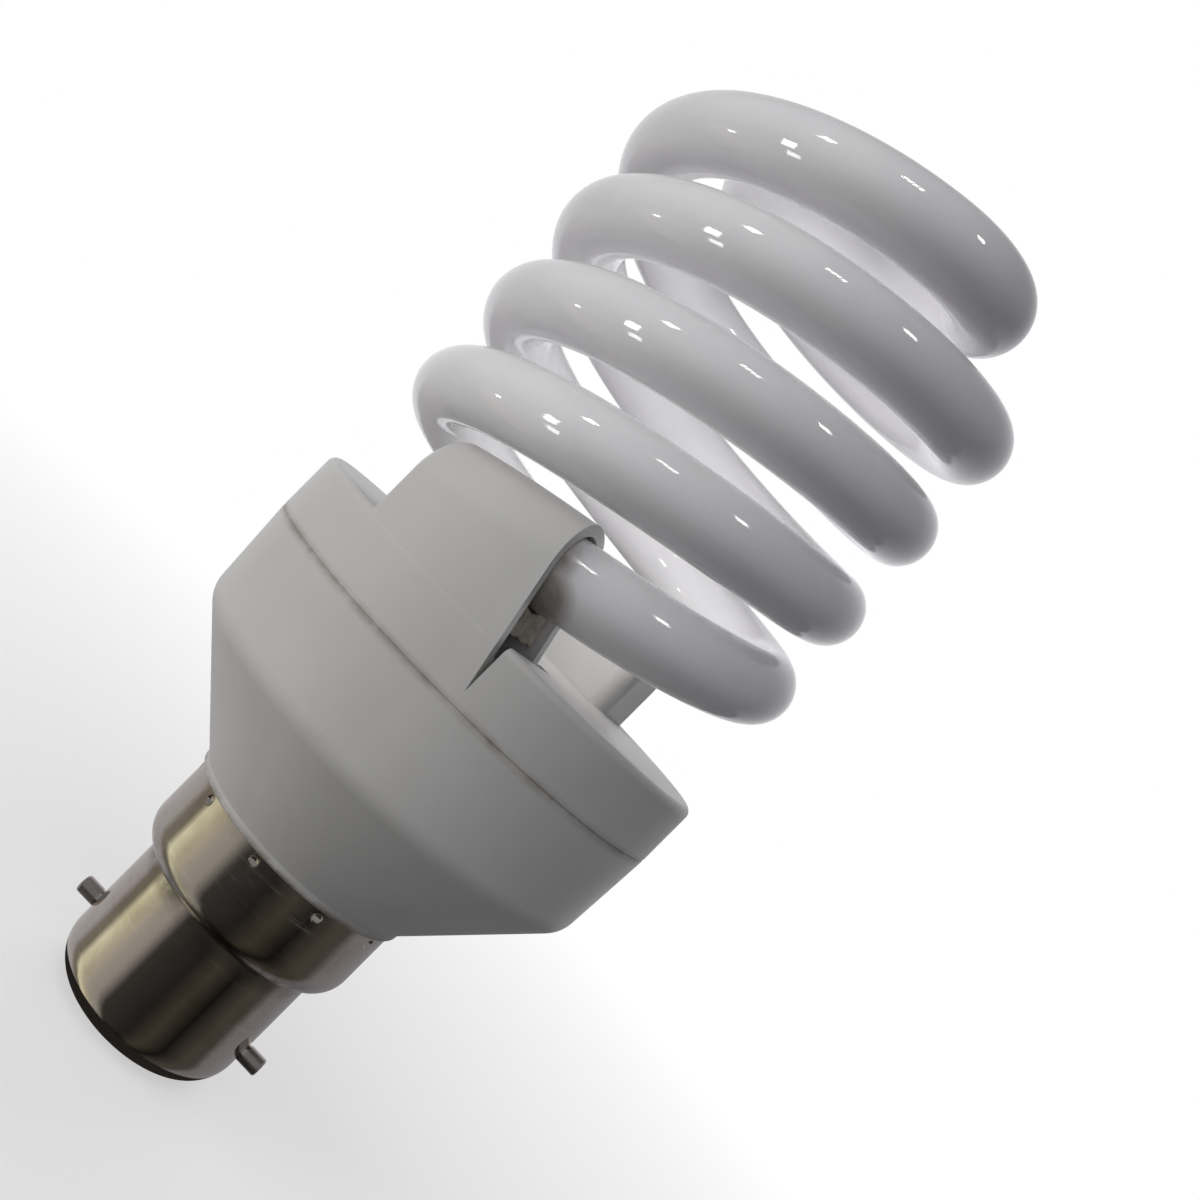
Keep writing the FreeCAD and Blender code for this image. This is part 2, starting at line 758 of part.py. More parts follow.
# Posts on the board, and the leads that drop to them from the tube's ends
post_top_z = board_top_z + post_height
tube_ends = (tube_curve.FirstParameter, tube_curve.LastParameter)
posts = []
for name, end, sense in zip(legs, tube_ends, (-1, 1)):
    way = tube_curve.tangent(end)[0] * sense
    outward = FreeCAD.Vector(way.x, way.y, 0).normalize()
    across = outward.cross(AXIS)
    for side, word in ((-1, "inner"), (1, "outer")):
        start = tube_curve.value(end) + across * (side * tube_lead_spread / 2)
        bend = start + outward * tube_lead_stub
        foot = FreeCAD.Vector(bend.x, bend.y, post_top_z)
        export(wire([start, bend, foot], tube_lead_radius, tube_lead_bend), "tube_lead_" + name + "_" + word)
        posts.append(block((post_side, post_side, post_height), (foot.x, foot.y), board_top_z))
export(Part.Compound(posts), "wrap_posts")
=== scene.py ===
# %% [markdown]
# # A spiral energy saving bulb
# The bulb was drawn as solids first, and this script dresses them. No solid is moved here: a piece
# that needs a finer shape is made beside its solid and stands in for it.

# %% Load the solids
import json
import math

import bmesh
import bpy
from mathutils import Matrix, Vector, noise


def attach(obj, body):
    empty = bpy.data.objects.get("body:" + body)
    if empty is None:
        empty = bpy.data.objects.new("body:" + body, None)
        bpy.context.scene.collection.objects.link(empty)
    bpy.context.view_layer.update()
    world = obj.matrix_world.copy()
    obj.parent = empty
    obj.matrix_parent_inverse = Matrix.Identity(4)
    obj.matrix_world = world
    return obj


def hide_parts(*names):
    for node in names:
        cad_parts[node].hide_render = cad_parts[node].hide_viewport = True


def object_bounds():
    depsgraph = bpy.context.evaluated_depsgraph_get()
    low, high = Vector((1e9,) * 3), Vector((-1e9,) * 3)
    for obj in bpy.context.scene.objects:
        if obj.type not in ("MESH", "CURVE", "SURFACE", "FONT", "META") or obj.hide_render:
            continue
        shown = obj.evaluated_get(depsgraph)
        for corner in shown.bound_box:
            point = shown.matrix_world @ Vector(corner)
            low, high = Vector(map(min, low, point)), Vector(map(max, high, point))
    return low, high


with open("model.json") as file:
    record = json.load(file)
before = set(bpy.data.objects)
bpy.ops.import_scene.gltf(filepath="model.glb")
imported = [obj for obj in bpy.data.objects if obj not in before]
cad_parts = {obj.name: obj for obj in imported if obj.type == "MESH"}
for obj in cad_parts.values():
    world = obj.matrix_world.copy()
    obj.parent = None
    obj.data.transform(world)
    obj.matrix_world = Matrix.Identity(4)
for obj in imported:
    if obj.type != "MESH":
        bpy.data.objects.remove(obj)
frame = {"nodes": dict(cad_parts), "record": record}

solid_low, solid_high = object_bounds()
MM = 0.001
print("solids:", len(frame["nodes"]), "box in mm:", [round(v / MM, 1) for v in (*solid_low, *solid_high)])

# %% [markdown]
# ## Camera
# The photograph was taken from very near, so the glass looks wider than the cap and the eye sees
# the deck from above. Setting a long lens far away would be easier to frame, but it would flatten
# all of that. The camera therefore stands where a fit to the photograph puts the real one, about
# 136 mm from the axis and a little higher than the deck, and its picture is rolled by 45 degrees as
# the photograph is. The bulb's body sits turned by 4 degrees on its cap, and the camera faces the
# body.

# %% Camera
BODY_TURN = math.radians(4.0)
picture_side = 1200
focal_length_pixels = 1298.2
picture_centre = (559.0, 586.9)
camera_distance = 136.0 * MM
camera_height = 57.44 * MM

to_right = Vector((math.cos(BODY_TURN), math.sin(BODY_TURN), 0))
to_back = Vector((-math.sin(BODY_TURN), math.cos(BODY_TURN), 0))
to_top = Vector((0, 0, 1))


def put_in_scene(name, data):
    """A new object in the scene that shows this mesh, camera or lamp."""
    placed = bpy.data.objects.new(name, data)
    bpy.context.scene.collection.objects.link(placed)
    return placed


optics = bpy.data.cameras.new("near_camera")
optics.sensor_width = 36
optics.lens = optics.sensor_width * focal_length_pixels / picture_side
optics.shift_x = (picture_side / 2 - picture_centre[0]) / picture_side
optics.shift_y = (picture_centre[1] - picture_side / 2) / picture_side
optics.clip_start = 5 * MM
camera = put_in_scene("near_camera", optics)
rolled = Matrix(((to_right + to_top).normalized(), (to_top - to_right).normalized(), -to_back))
camera_place = Matrix.Translation(to_top * camera_height - to_back * camera_distance)
camera.matrix_world = camera_place @ rolled.transposed().to_4x4()
bpy.context.scene.camera = camera
bpy.context.scene.view_settings.view_transform = "Standard"
print("lens:", round(optics.lens, 2), "mm, shift:", round(optics.shift_x, 4), round(optics.shift_y, 4))

# %% [markdown]
# ## The path of the glass
# The glass is one tube, bent hot round a mandrel: two legs wind up side by side like the strands of
# a rope, and an S-shaped bridge joins them on top. A curve object with a Screw modifier could wind
# a perfect helix, but a hand-bent tube isn't perfect: here the two legs rise a little differently,
# the whole coil leans to the left and is tilted up on the right, and low down each leg tucks in
# towards its hood. So each point of the path is worked out from the same few measures as the solid.

# %% Measures of the spiral
TUBE_RADIUS = 4.0 * MM
COIL_RADIUS = 21.85 * MM
TUCKED_RADIUS = 20.3 * MM
TUCKED_Z = 58.4 * MM
PITCH = (21.45 * MM, 22.07 * MM)
TOP_Z = (102.8 * MM, 103.5 * MM)
CREST_Z = 105.75 * MM
TOP_DEG = 642.0
TUCK_FROM_DEG = -5.0
TUCK_TO_DEG = -95.0
FRONT_DEG = -90.0
END_DEG = -126.2
LEAN = math.tan(math.radians(3.0))
TILT = math.tan(math.radians(1.8))


def around(radius, degrees, z):
    """The point at this distance from the axis, this angle on the body and this height."""
    turn = math.radians(degrees) + BODY_TURN
    return Vector((radius * math.cos(turn), radius * math.sin(turn), z))


def leaning(point, tilted=1.0):
    """The higher the glass, the more it stands to the left, and its right side is tilted up."""
    return point - to_right * (point.z - TUCKED_Z) * LEAN + to_top * point.dot(to_right) * TILT * tilted


print("turns on each leg:", round((TOP_DEG - END_DEG) / 360, 2))


# %% Path of the glass
def leg_point(leg, degrees):
    """The middle of the glass on one leg. Low down it tucks in towards its hood."""
    share = min(max((TUCK_FROM_DEG - degrees) / (TUCK_FROM_DEG - TUCK_TO_DEG), 0), 1)
    tuck = (1 - math.cos(math.pi * share)) / 2
    wound_z = TOP_Z[leg] - PITCH[leg] * (TOP_DEG - degrees) / 360
    tucked_z = TUCKED_Z + (PITCH[0] + PITCH[1]) / 2 * (degrees - FRONT_DEG) / 360
    radius = COIL_RADIUS + (TUCKED_RADIUS - COIL_RADIUS) * tuck
    return leaning(around(radius, degrees + 180 * leg, wound_z + (tucked_z - wound_z) * tuck), 1 - tuck)


def bridge_point(leg, share):
    """The middle of the glass on half of the bridge, from the top of a leg to the axis."""
    turn = TOP_DEG + 180 * leg
    flat = around(COIL_RADIUS / 2, turn, 0) + around(COIL_RADIUS / 2, turn + 180 * share, 0)
    start = PITCH[leg] / 4
    climb = CREST_Z - TOP_Z[leg]
    rise = start * share + (3 * climb - 2 * start) * share**2 + (start - 2 * climb) * share**3
    return leaning(flat + to_top * (TOP_Z[leg] + rise))


def half_path(leg, step=3.0, bridge_steps=40):
    """The middle of the glass from a leg's low end to just short of the axis."""
    count = math.ceil((TOP_DEG - END_DEG) / step)
    wound = [leg_point(leg, END_DEG + (TOP_DEG - END_DEG) * i / count) for i in range(count + 1)]
    return wound + [bridge_point(leg, i / bridge_steps) for i in range(1, bridge_steps)]


glass_path = half_path(0) + [bridge_point(0, 1)] + half_path(1)[::-1]
print("points on the path:", len(glass_path))

# %% [markdown]
# ## Sweeping a skin along a path
# A curve with a round bevel would give a tube in one step, but its skin is perfectly even, and drawn
# glass is a little thicker here and thinner there. A small helper lays a ring of points round each
# point of the path and joins the rings with four-sided faces, and a function says how far the skin
# lies from the middle at each place.

# %% Skin along a path
def piece_from(name, mesh):
    """Puts a mesh under construction in the scene as a new object."""
    data = bpy.data.meshes.new(name)
    mesh.to_mesh(data)
    mesh.free()
    return put_in_scene(name, data)


def skin(name, path, reach, sides=48):
    """A closed piece along the path. reach(i, turn) is its radius at point i, in that direction."""
    mesh = bmesh.new()
    rings = []
    for i, middle in enumerate(path):
        along = (path[min(i + 1, len(path) - 1)] - path[max(i - 1, 0)]).normalized()
        out = along.cross(to_top).normalized()
        over = out.cross(along)
        ring = []
        for k in range(sides):
            turn = 2 * math.pi * k / sides
            outward = out * math.cos(turn) + over * math.sin(turn)
            ring.append(mesh.verts.new(middle + outward * reach(i, turn)))
        rings.append(ring)
    for low, high in zip(rings, rings[1:]):
        for k in range(sides):
            mesh.faces.new((low[k - 1], low[k], high[k], high[k - 1]))
    mesh.faces.new(rings[0])
    mesh.faces.new(rings[-1][::-1])
    bmesh.ops.recalc_face_normals(mesh, faces=mesh.faces)
    piece = piece_from(name, mesh)
    piece.data.shade_smooth()
    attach(piece, "root")
    return piece


# %% The glass
UNEVEN_LENGTH = 9 * MM
UNEVEN_ROUND = 0.3
MEAN_REACH = 0.992
UNEVEN_REACH = 0.007


def glass_reach(i, turn):
    """Drawn glass: a little under its nominal radius, more here and less there, and never over it."""
    place = glass_path[i] / UNEVEN_LENGTH + Vector((math.cos(turn), math.sin(turn), 0)) * UNEVEN_ROUND
    return TUBE_RADIUS * (MEAN_REACH + UNEVEN_REACH * noise.noise(place))


spiral_glass = skin("spiral_glass", glass_path, glass_reach)
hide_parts("spiral_tube")
print("glass faces:", len(spiral_glass.data.polygons))

# %% [markdown]
# ## Cement in the hoods
# Each end of the glass is set in its hood with cement that was pressed in soft and has dried with a
# lumpy face. The solid has a flat face there. Sculpting by hand would do it; here a copy of the solid
# is cut into small even faces with a Remesh modifier, and noise then pushes each point, mostly
# inwards, so that few lumps rise past the solid.

# %% Lumpy cement
CEMENT_GRID = 0.22 * MM
CEMENT_PUSH = 0.32 * MM
CEMENT_SUNK = 0.7
LARGE_LUMPS = 1.6 * MM
SMALL_LUMPS = 0.6 * MM


def lumpy_copy(name, node):
    """A copy of a solid with small even faces, pushed mostly inwards by noise."""
    rough = put_in_scene(name + "_rough", frame["nodes"][node].data.copy())
    remesh = rough.modifiers.new("even_faces", "REMESH")
    remesh.mode = "VOXEL"
    remesh.voxel_size = CEMENT_GRID
    finished = rough.evaluated_get(bpy.context.evaluated_depsgraph_get())
    data = bpy.data.meshes.new_from_object(finished)
    bpy.data.objects.remove(rough)
    data.name = name
    normals = [v.normal.copy() for v in data.vertices]
    for v, normal in zip(data.vertices, normals):
        lumps = noise.noise(v.co / LARGE_LUMPS) + 0.5 * noise.noise(v.co / SMALL_LUMPS)
        v.co += normal * CEMENT_PUSH * (lumps - CEMENT_SUNK)
    data.shade_smooth()
    data.materials.clear()
    piece = put_in_scene(name, data)
    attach(piece, "root")
    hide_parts(node)
    return piece


cement_front = lumpy_copy("lumpy_cement_front", "tube_cement_front")
cement_back = lumpy_copy("lumpy_cement_back", "tube_cement_back")
print("cement faces:", len(cement_front.data.polygons) + len(cement_back.data.polygons))

# %% [markdown]
# ## Dirt in the seam
# The two housings meet in a fine groove. On the solids it is an empty slit and renders black, but on
# the real lamp it is packed with grey dirt and reads as a soft line. A dark line in the finish can't
# lighten a slit, so a thin ring fills it to just under the surface. It wavers a little, as packed
# dirt does.

# %% Dirt in the seam
SEAM_Z = 43.9 * MM
HOUSING_RADIUS = 26.0 * MM
DIRT_INNER = 25.2 * MM
DIRT_DEPTH = 0.075 * MM
DIRT_WAVER = 0.045 * MM
DIRT_WAVE_LENGTH = 2.2 * MM
DIRT_HALF_HEIGHT = 0.075 * MM
DIRT_STEPS = 360


def dirt_hoop(mesh, degrees):
    """The four corners of the ring of dirt at this angle."""
    waver = noise.noise(around(HOUSING_RADIUS, degrees, SEAM_Z) / DIRT_WAVE_LENGTH)
    outer = HOUSING_RADIUS - DIRT_DEPTH - DIRT_WAVER * waver
    low = SEAM_Z - DIRT_HALF_HEIGHT
    high = SEAM_Z + DIRT_HALF_HEIGHT
    corners = ((DIRT_INNER, low), (outer, low), (outer, high), (DIRT_INNER, high))
    return [mesh.verts.new(around(radius, degrees, z)) for radius, z in corners]


mesh = bmesh.new()
hoops = [dirt_hoop(mesh, 360 * i / DIRT_STEPS) for i in range(DIRT_STEPS)]
for hoop, onward in zip(hoops, hoops[1:] + hoops[:1]):
    for k in range(4):
        mesh.faces.new((hoop[k - 1], onward[k - 1], onward[k], hoop[k]))
bmesh.ops.recalc_face_normals(mesh, faces=mesh.faces)
seam_dirt = piece_from("seam_dirt", mesh)
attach(seam_dirt, "root")
print("dirt faces:", len(seam_dirt.data.polygons))

# %% [markdown]
# ## Small helpers for finishes
# A finish is a tree of shader nodes. Wiring each tree by hand in the editor is a good way to learn
# it; in a script, a few helpers keep it short. One adds a node and fills its inputs, with a plain
# value or with another node's output, and three more add the nodes that are used most. The last two
# make and place a group, which is an effect with named inputs that several finishes share, each with
# its own values.

# %% Helpers for nodes
def feed(tree, socket, value):
    """Links an output to this input, or sets a plain value on it."""
    if isinstance(value, bpy.types.NodeSocket):
        tree.links.new(value, socket)
    else:
        socket.default_value = value


def add(tree, kind, settings=None, **inputs):
    """Adds a shader node. In the name of an input, an underscore stands for a space."""
    made = tree.nodes.new("ShaderNode" + kind)
    for name, value in (settings or {}).items():
        setattr(made, name, value)
    for name, value in inputs.items():
        feed(tree, made.inputs[name.replace("_", " ")], value)
    return made


def maths(tree, operation, first, second=0.0):
    """One sum: its output is the result."""
    made = add(tree, "Math", {"operation": operation})
    feed(tree, made.inputs[0], first)
    feed(tree, made.inputs[1], second)
    return made.outputs[0]


def between(tree, mask, first, second):
    """The first colour where the mask is 0, the second where it is 1."""
    # A Mix node has sockets for each kind of value: inputs 6 and 7 and output 2 are its colours.
    made = add(tree, "Mix", {"data_type": "RGBA"})
    feed(tree, made.inputs[0], mask)
    feed(tree, made.inputs[6], first)
    feed(tree, made.inputs[7], second)
    return made.outputs[2]


def span(tree, value, low, high, to_low=0.0, to_high=1.0):
    """Stretches a value from one range to another, and stops at the ends."""
    made = add(tree, "MapRange", Value=value, To_Min=to_low, To_Max=to_high)
    feed(tree, made.inputs["From Min"], low)
    feed(tree, made.inputs["From Max"], high)
    return made.outputs["Result"]


# %% Helpers for groups
def open_group(name, inputs, output):
    """A new effect: its tree, its inputs as outputs of one node, and the socket that takes its result."""
    tree = bpy.data.node_groups.new(name, "ShaderNodeTree")
    for title, value in inputs.items():
        socket = tree.interface.new_socket(title, in_out="INPUT", socket_type="NodeSocketFloat")
        socket.default_value = value
    tree.interface.new_socket(output, in_out="OUTPUT", socket_type="NodeSocketFloat")
    taken = tree.nodes.new("NodeGroupInput").outputs
    given = tree.nodes.new("NodeGroupOutput").inputs[0]
    return tree, taken, given


def effect(tree, name, **inputs):
    """Places a group in a finish and gives its result."""
    made = add(tree, "Group", {"node_tree": bpy.data.node_groups[name]})
    for title, value in inputs.items():
        feed(tree, made.inputs[title], value)
    return made.outputs[0]


# %% [markdown]
# ## Effects that several finishes share
# Plastic, plate and glass that have been handled show the same few things: blotches where the
# surface is a shade darker, fine scratches, a grain from the mould, dust that settles on faces that
# look up, and a dirty line along a joint. The same dark line also serves as painted shadow under the
# housing's lip and as a painted dark reflection under the collar. Painting them on an image would
# need unwrapping. Noise that is read in the object's own metres needs none, and keeps its scale on
# every piece.

# %% Blotches
tree, taken, given = open_group("blotches", {"Scale": 60.0, "Low": 0.42, "High": 0.62}, "Mask")
here = add(tree, "TexCoord").outputs["Object"]
cloud = add(tree, "TexNoise", Vector=here, Scale=taken["Scale"], Detail=5.0, Roughness=0.6)
feed(tree, given, span(tree, cloud.outputs["Fac"], taken["Low"], taken["High"]))
print("blotches:", len(tree.nodes), "nodes")

# %% Scratches that run round the axis
tree, taken, given = open_group("turning_scratches", {"Scale": 900.0, "Low": 0.6, "High": 0.72}, "Mask")
here = add(tree, "TexCoord").outputs["Object"]
stretched = add(tree, "Mapping", Vector=here, Scale=(0.06, 0.06, 1.0)).outputs["Vector"]
lines = add(tree, "TexNoise", Vector=stretched, Scale=taken["Scale"], Detail=3.0, Roughness=0.7)
feed(tree, given, span(tree, lines.outputs["Fac"], taken["Low"], taken["High"]))
print("scratches:", len(tree.nodes), "nodes")

# %% Grain of a moulded or cast surface
tree, taken, given = open_group("surface_grain", {"Scale": 2500.0, "Wave": 90.0}, "Height")
here = add(tree, "TexCoord").outputs["Object"]
fine = add(tree, "TexNoise", Vector=here, Scale=taken["Scale"], Detail=2.0).outputs["Fac"]
slow = add(tree, "TexNoise", Vector=here, Scale=taken["Wave"], Detail=1.0).outputs["Fac"]
feed(tree, given, maths(tree, "ADD", maths(tree, "MULTIPLY", fine, 0.25), slow))
print("grain:", len(tree.nodes), "nodes")

# %% Dust on faces that look up
tree, taken, given = open_group("settled_dust", {"Amount": 0.4, "Scale": 160.0}, "Mask")
facing = add(tree, "SeparateXYZ", Vector=add(tree, "NewGeometry").outputs["Normal"]).outputs["Z"]
here = add(tree, "TexCoord").outputs["Object"]
specks = add(tree, "TexNoise", Vector=here, Scale=taken["Scale"], Detail=6.0, Roughness=0.7).outputs["Fac"]
lying = maths(tree, "MULTIPLY", span(tree, facing, 0.25, 1.0), span(tree, specks, 0.38, 0.68))
feed(tree, given, maths(tree, "MULTIPLY", lying, taken["Amount"]))
print("dust:", len(tree.nodes), "nodes")

# %% Dark line at a height, for dirt at a joint and for painted shade under an edge
tree, taken, given = open_group("dirt_and_shade_line", {"Height": SEAM_Z, "Width": 0.8 * MM, "Amount": 0.6}, "Mask")
here = add(tree, "TexCoord").outputs["Object"]
height = add(tree, "SeparateXYZ", Vector=here).outputs["Z"]
away = maths(tree, "ABSOLUTE", maths(tree, "SUBTRACT", height, taken["Height"]))
near = maths(tree, "SUBTRACT", 1.0, span(tree, maths(tree, "DIVIDE", away, taken["Width"]), 0.0, 1.0))
patchy = add(tree, "TexNoise", Vector=here, Scale=240.0, Detail=4.0, Roughness=0.65).outputs["Fac"]
dark_line = maths(tree, "MULTIPLY", near, span(tree, patchy, 0.3, 0.6))
feed(tree, given, maths(tree, "MULTIPLY", dark_line, taken["Amount"]))
print("effects:", sorted(g.name for g in bpy.data.node_groups))

# %% [markdown]
# ## Opening a finish
# Each finish has one Principled shader. A value that is the same all over, such as the refractive
# index, is set on the shader itself; only what changes over the surface arrives through nodes.

# %% Opening a finish
finishes = {}


def open_finish(slot):
    """A new material for this slot: its tree and its Principled shader."""
    finish = bpy.data.materials.new(slot + "_finish")
    finish.use_nodes = True
    finishes[slot] = finish
    return finish.node_tree, finish.node_tree.nodes["Principled BSDF"]


def raised(tree, shader, height, strength, depth):
    """Feeds a height to the shader as a bump of this depth in metres."""
    bump = add(tree, "Bump", Height=height, Strength=strength, Distance=depth)
    feed(tree, shader.inputs["Normal"], bump.outputs["Normal"])


# %% [markdown]
# ## White glass
# The tube is clear glass with a white powder fired on inside, so it looks like porcelain: white
# underneath, with a hard sharp shine on top. Real transmission would show nothing but that powder,
# so an opaque white with a low roughness is truer and quicker. The powder is a shade lilac and not
# quite even, fingers have left blotches that dull the shine, and a slow wave bends the reflections.
# Where the glass leaves each hood, the hood's shadow on its lower side is painted on in a dark
# brownish tone. This painted shadow is a mask that fades with the distance from two spots at the
# hood's mouth.

# %% Painted shadow of the hoods on the glass
HOOD_SHADOW_RADIUS = 23.4 * MM
HOOD_SHADOW_FADE = 1.6 * MM
hood_shadow_spots = ((-94.5, 54.3 * MM, 5.2 * MM), (-97.5, 58.5 * MM, 3.7 * MM))


def painted_hood_shadow(tree):
    """A mask of the painted shadow at both hoods. Each spot has an angle, a height and a reach."""
    here = add(tree, "TexCoord").outputs["Object"]
    mask = 0.0
    for turn in (0, 180):
        for degrees, height, reach in hood_shadow_spots:
            gone = add(tree, "VectorMath", {"operation": "DISTANCE"}, Vector=here)
            gone.inputs[1].default_value = around(HOOD_SHADOW_RADIUS, turn + degrees, height)
            fading = span(tree, gone.outputs["Value"], reach, reach - HOOD_SHADOW_FADE)
            mask = maths(tree, "MAXIMUM", mask, fading)
    uneven = effect(tree, "blotches", Scale=500.0, Low=0.25, High=0.6)
    return maths(tree, "MULTIPLY", mask, span(tree, uneven, 0.0, 1.0, 0.65, 1.0))


# %% White glass
tree, shader = open_finish("white_glass")
powder = effect(tree, "blotches", Scale=70.0, Low=0.35, High=0.7)
fingers = effect(tree, "blotches", Scale=150.0, Low=0.55, High=0.72)
dust = effect(tree, "settled_dust", Amount=0.25, Scale=420.0)
hood_shadow = painted_hood_shadow(tree)
white = between(tree, powder, (0.76, 0.753, 0.766, 1), (0.71, 0.702, 0.72, 1))
white = between(tree, dust, white, (0.52, 0.5, 0.47, 1))
# Painted shadow: near each hood's mouth the white glass turns a dark brownish shade.
feed(tree, shader.inputs["Base Color"], between(tree, hood_shadow, white, (0.27, 0.245, 0.215, 1)))
dulled = span(tree, fingers, 0.0, 1.0, 0.05, 0.12)
dulled = maths(tree, "ADD", dulled, maths(tree, "MULTIPLY", dust, 0.5))
feed(tree, shader.inputs["Roughness"], maths(tree, "ADD", dulled, maths(tree, "MULTIPLY", hood_shadow, 0.4)))
ripple = effect(tree, "surface_grain", Scale=300.0, Wave=110.0)
raised(tree, shader, ripple, strength=0.2, depth=0.2 * MM)
shader.inputs["IOR"].default_value = 1.5
print("white glass:", len(tree.nodes), "nodes")

# %% [markdown]
# ## Housing plastic
# Both housings are moulded in a flame-proof plastic that was white and has aged to a warm off-white.
# It has a satin skin with a fine grain from the mould. Dirt has gathered in the seam between the two
# housings. The shadow under the housing's lip, above the metal collar, is painted on as a dark line,
# and dust lies on the deck. Vertex paint could hold the dirt and the painted shadow, but a line at a
# known height is exact and needs no extra faces.

# %% Housing plastic
LIP_Z = 19.7 * MM
LINE_WIDTH = 0.7 * MM
tree, shader = open_finish("housing_plastic")
aged = effect(tree, "blotches", Scale=45.0, Low=0.36, High=0.68)
rubbed = effect(tree, "turning_scratches", Scale=500.0, Low=0.62, High=0.75)
dust = effect(tree, "settled_dust", Amount=0.35, Scale=260.0)
seam = effect(tree, "dirt_and_shade_line", Height=SEAM_Z, Width=LINE_WIDTH, Amount=0.75)
# Painted shadow: a dark line under the housing's lip, just above the collar.
lip_shadow = effect(tree, "dirt_and_shade_line", Height=LIP_Z, Width=LINE_WIDTH, Amount=0.95)
plastic = between(tree, aged, (0.55, 0.547, 0.538, 1), (0.507, 0.502, 0.489, 1))
plastic = between(tree, dust, plastic, (0.5, 0.47, 0.43, 1))
# Dirt in the seam and the painted shadow under the lip take the same dark tone.
plastic = between(tree, maths(tree, "MAXIMUM", seam, lip_shadow), plastic, (0.2, 0.175, 0.145, 1))
feed(tree, shader.inputs["Base Color"], plastic)
satin = span(tree, aged, 0.0, 1.0, 0.36, 0.46)
feed(tree, shader.inputs["Roughness"], maths(tree, "ADD", satin, maths(tree, "MULTIPLY", rubbed, 0.08)))
grain = effect(tree, "surface_grain", Scale=2600.0, Wave=140.0)
raised(tree, shader, grain, strength=0.3, depth=0.12 * MM)
print("housing plastic:", len(tree.nodes), "nodes")

# %% [markdown]
# ## Plated cap
# The cap and its pins are brass with a bright nickel plate. It mirrors its surroundings, so most of
# its look comes from what stands around it. The finish itself adds what use has left: fine scratches
# round the axis from pushing it into holders, cloudy patches and a warm tarnish. In the step under
# the collar a dark band is painted on, partly grime and partly a painted dark reflection. The pins
# are rubbed duller than the rest. They share the cap's finish, so a mask finds them by their
# distance from the axis.

# %% Where the pins are
PIN_ROOT = 11.1 * MM
PIN_BLEND = 0.3 * MM
PIN_LEVEL = 4 * MM
ABOVE_PINS = 5 * MM


def on_pins(tree):
    """A mask that is 1 on the pins: out past the cap's wall, and lower than the collar."""
    place = add(tree, "SeparateXYZ", Vector=add(tree, "TexCoord").outputs["Object"]).outputs
    squares = [maths(tree, "POWER", place[axis], 2.0) for axis in "XY"]
    from_axis = maths(tree, "SQRT", maths(tree, "ADD", *squares))
    past_wall = span(tree, from_axis, PIN_ROOT, PIN_ROOT + PIN_BLEND)
    return maths(tree, "MULTIPLY", past_wall, span(tree, place["Z"], ABOVE_PINS, PIN_LEVEL))


# %% Plated cap
STEP_Z = 10.4 * MM
tree, shader = open_finish("plated_cap")
tarnish = effect(tree, "blotches", Scale=190.0, Low=0.5, High=0.78)
cloudy = effect(tree, "blotches", Scale=420.0, Low=0.4, High=0.75)
scratches = effect(tree, "turning_scratches", Scale=1500.0, Low=0.56, High=0.72)
# Painted dark reflection with a little grime: a wide dark band in the step under the collar.
grime_and_dark_reflection = effect(tree, "dirt_and_shade_line", Height=STEP_Z, Width=2.3 * MM, Amount=1.0)
pins = on_pins(tree)
plate = between(tree, tarnish, (0.68, 0.64, 0.59, 1), (0.52, 0.46, 0.39, 1))
plate = between(tree, maths(tree, "MULTIPLY", scratches, 0.35), plate, (0.8, 0.77, 0.72, 1))
plate = between(tree, pins, plate, (0.5, 0.46, 0.44, 1))
# The band under the collar takes a near-black tone, mostly painted reflection.
feed(tree, shader.inputs["Base Color"], between(tree, grime_and_dark_reflection, plate, (0.07, 0.066, 0.06, 1)))
shader.inputs["Metallic"].default_value = 1.0
bright = span(tree, cloudy, 0.0, 1.0, 0.055, 0.11)
bright = maths(tree, "ADD", bright, maths(tree, "MULTIPLY", scratches, 0.08))
dull = maths(tree, "MAXIMUM", maths(tree, "MULTIPLY", grime_and_dark_reflection, 0.2), maths(tree, "MULTIPLY", pins, 0.3))
feed(tree, shader.inputs["Roughness"], maths(tree, "ADD", bright, dull))
grain = effect(tree, "surface_grain", Scale=1200.0, Wave=210.0)
worn = maths(tree, "ADD", grain, maths(tree, "MULTIPLY", scratches, -0.4))
raised(tree, shader, worn, strength=0.12, depth=0.04 * MM)
print("plated cap:", len(tree.nodes), "nodes")

# %% [markdown]
# ## The plainer finishes
# The insulator, the solder, the cement and everything inside the housing need less: two shades that
# mix in blotches, a roughness that follows them and a grain. One table holds their values, in the
# order first shade, second shade, blotch scale, roughness from and to, bump depth in millimetres, and
# metal or not.

